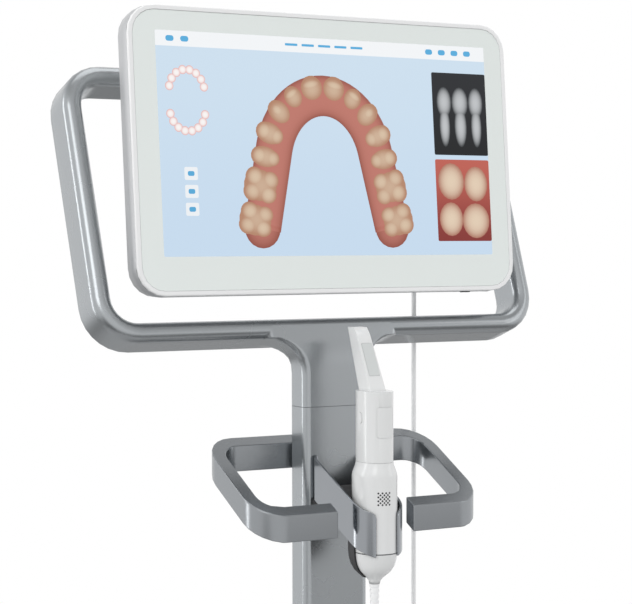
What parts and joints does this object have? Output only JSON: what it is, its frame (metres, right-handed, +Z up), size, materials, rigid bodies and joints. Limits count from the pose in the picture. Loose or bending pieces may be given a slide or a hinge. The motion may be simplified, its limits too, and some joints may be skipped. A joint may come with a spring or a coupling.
{
  "type": "intraoral scanner",
  "caption": "Cart-mounted intraoral scanner: touch display in a loop frame, corded wand in a strap cradle, ring handle and star base on casters.",
  "frame": {"origin": "on the floor under the middle of the cart's bounding box", "axes": "+Z up, the display faces -Y, +X is to the right as seen from the front"},
  "size_m": [0.648, 0.6302, 1.2798],
  "materials": {
    "satin_metal": "satin",
    "brushed_steel": "brushed",
    "white_plastic": "gloss",
    "printed_glass": "gloss",
    "silver_band": "satin",
    "grey_plastic": "satin",
    "black_plastic": "matte",
    "pale_window": "gloss",
    "circuit_board": "satin",
    "tyre": "matte",
    "bolt_steel": "satin"
  },
  "bodies": {
    "cart": {"star_base": "satin_metal", "column_tube": "satin_metal", "loop_frame": "satin_metal", "ring_handle": "satin_metal", "cradle_strap": "brushed_steel", "cradle_insert": "black_plastic", "display_bracket": "satin_metal", "front_rim": "white_plastic", "touch_glass": "printed_glass", "lcd_panel": "grey_plastic", "chassis_plate": "bolt_steel", "side_band": "silver_band", "rear_cover": "white_plastic", "main_board": "circuit_board", "battery_pack": "grey_plastic", "cord_outlet": "white_plastic", "wand_nose": "white_plastic", "nose_window": "pale_window", "wand_barrel": "white_plastic", "wand_grip": "white_plastic", "wand_cap": "white_plastic", "imaging_module": "grey_plastic", "touch_pad": "white_plastic", "strain_relief": "white_plastic", "scanner_cord": "white_plastic", "base_screw": "bolt_steel", "column_screw": "bolt_steel", "hook_screw": "bolt_steel", "bracket_screw_1": "bolt_steel", "display_screw_1": "bolt_steel", "bracket_screw_2": "bolt_steel", "display_screw_2": "bolt_steel", "bracket_screw_3": "bolt_steel", "display_screw_3": "bolt_steel", "bracket_screw_4": "bolt_steel", "display_screw_4": "bolt_steel", "ring_screw_1": "bolt_steel", "cradle_screw_1": "bolt_steel", "ring_screw_2": "bolt_steel", "cradle_screw_2": "bolt_steel"},
    "swivel_1": {"caster_fork_1": "grey_plastic", "caster_axle_1": "bolt_steel"},
    "wheel_1": {"caster_wheel_1": "tyre"},
    "swivel_2": {"caster_fork_2": "grey_plastic", "caster_axle_2": "bolt_steel"},
    "wheel_2": {"caster_wheel_2": "tyre"},
    "swivel_3": {"caster_fork_3": "grey_plastic", "caster_axle_3": "bolt_steel"},
    "wheel_3": {"caster_wheel_3": "tyre"},
    "swivel_4": {"caster_fork_4": "grey_plastic", "caster_axle_4": "bolt_steel"},
    "wheel_4": {"caster_wheel_4": "tyre"},
    "swivel_5": {"caster_fork_5": "grey_plastic", "caster_axle_5": "bolt_steel"},
    "wheel_5": {"caster_wheel_5": "tyre"},
    "lever_3": {"brake_lever_3": "black_plastic"},
    "lever_4": {"brake_lever_4": "black_plastic"},
    "power_key": {"power_button": "black_plastic"},
    "wand_key_left": {"side_button_left": "white_plastic"},
    "wand_key_right": {"side_button_right": "white_plastic"}
  },
  "joints": [
    {"name": "swivel_turn_1", "type": "hinge", "parent": "cart", "child": "swivel_1", "pos_m": [0, 0.2526, 0], "axis": [0, 0, 1], "continuous": true},
    {"name": "wheel_roll_1", "type": "hinge", "parent": "swivel_1", "child": "wheel_1", "pos_m": [0, 0.2776, 0.0375], "axis": [1, 0, 0], "continuous": true},
    {"name": "swivel_turn_2", "type": "hinge", "parent": "cart", "child": "swivel_2", "pos_m": [-0.28532, 0.04531, 0], "axis": [0, 0, 1], "continuous": true},
    {"name": "wheel_roll_2", "type": "hinge", "parent": "swivel_2", "child": "wheel_2", "pos_m": [-0.28532, 0.07031, 0.0375], "axis": [1, 0, 0], "continuous": true},
    {"name": "swivel_turn_3", "type": "hinge", "parent": "cart", "child": "swivel_3", "pos_m": [-0.17634, -0.2901, 0], "axis": [0, 0, 1], "continuous": true},
    {"name": "wheel_roll_3", "type": "hinge", "parent": "swivel_3", "child": "wheel_3", "pos_m": [-0.17634, -0.2651, 0.0375], "axis": [1, 0, 0], "continuous": true},
    {"name": "swivel_turn_4", "type": "hinge", "parent": "cart", "child": "swivel_4", "pos_m": [0.17634, -0.2901, 0], "axis": [0, 0, 1], "continuous": true},
    {"name": "wheel_roll_4", "type": "hinge", "parent": "swivel_4", "child": "wheel_4", "pos_m": [0.17634, -0.2651, 0.0375], "axis": [1, 0, 0], "continuous": true},
    {"name": "swivel_turn_5", "type": "hinge", "parent": "cart", "child": "swivel_5", "pos_m": [0.28532, 0.04531, 0], "axis": [0, 0, 1], "continuous": true},
    {"name": "wheel_roll_5", "type": "hinge", "parent": "swivel_5", "child": "wheel_5", "pos_m": [0.28532, 0.07031, 0.0375], "axis": [1, 0, 0], "continuous": true},
    {"name": "brake_press_3", "type": "hinge", "parent": "swivel_3", "child": "lever_3", "pos_m": [-0.17634, -0.2591, 0.0805], "axis": [1, 0, 0], "range_deg": [-12, 0]},
    {"name": "brake_press_4", "type": "hinge", "parent": "swivel_4", "child": "lever_4", "pos_m": [0.17634, -0.2591, 0.0805], "axis": [1, 0, 0], "range_deg": [-12, 0]},
    {"name": "power_press", "type": "slide", "parent": "cart", "child": "power_key", "axis": [0, 0.0849, 0.9964], "range_m": [0, 0.001], "stiffness_N_per_m": 400, "springref_m": -0.001},
    {"name": "wand_press_left", "type": "slide", "parent": "cart", "child": "wand_key_left", "axis": [1, 0, 0], "range_m": [0, 0.0006], "stiffness_N_per_m": 400, "springref_m": -0.001},
    {"name": "wand_press_right", "type": "slide", "parent": "cart", "child": "wand_key_right", "axis": [-1, 0, 0], "range_m": [0, 0.0006], "stiffness_N_per_m": 400, "springref_m": -0.001}
  ]
}
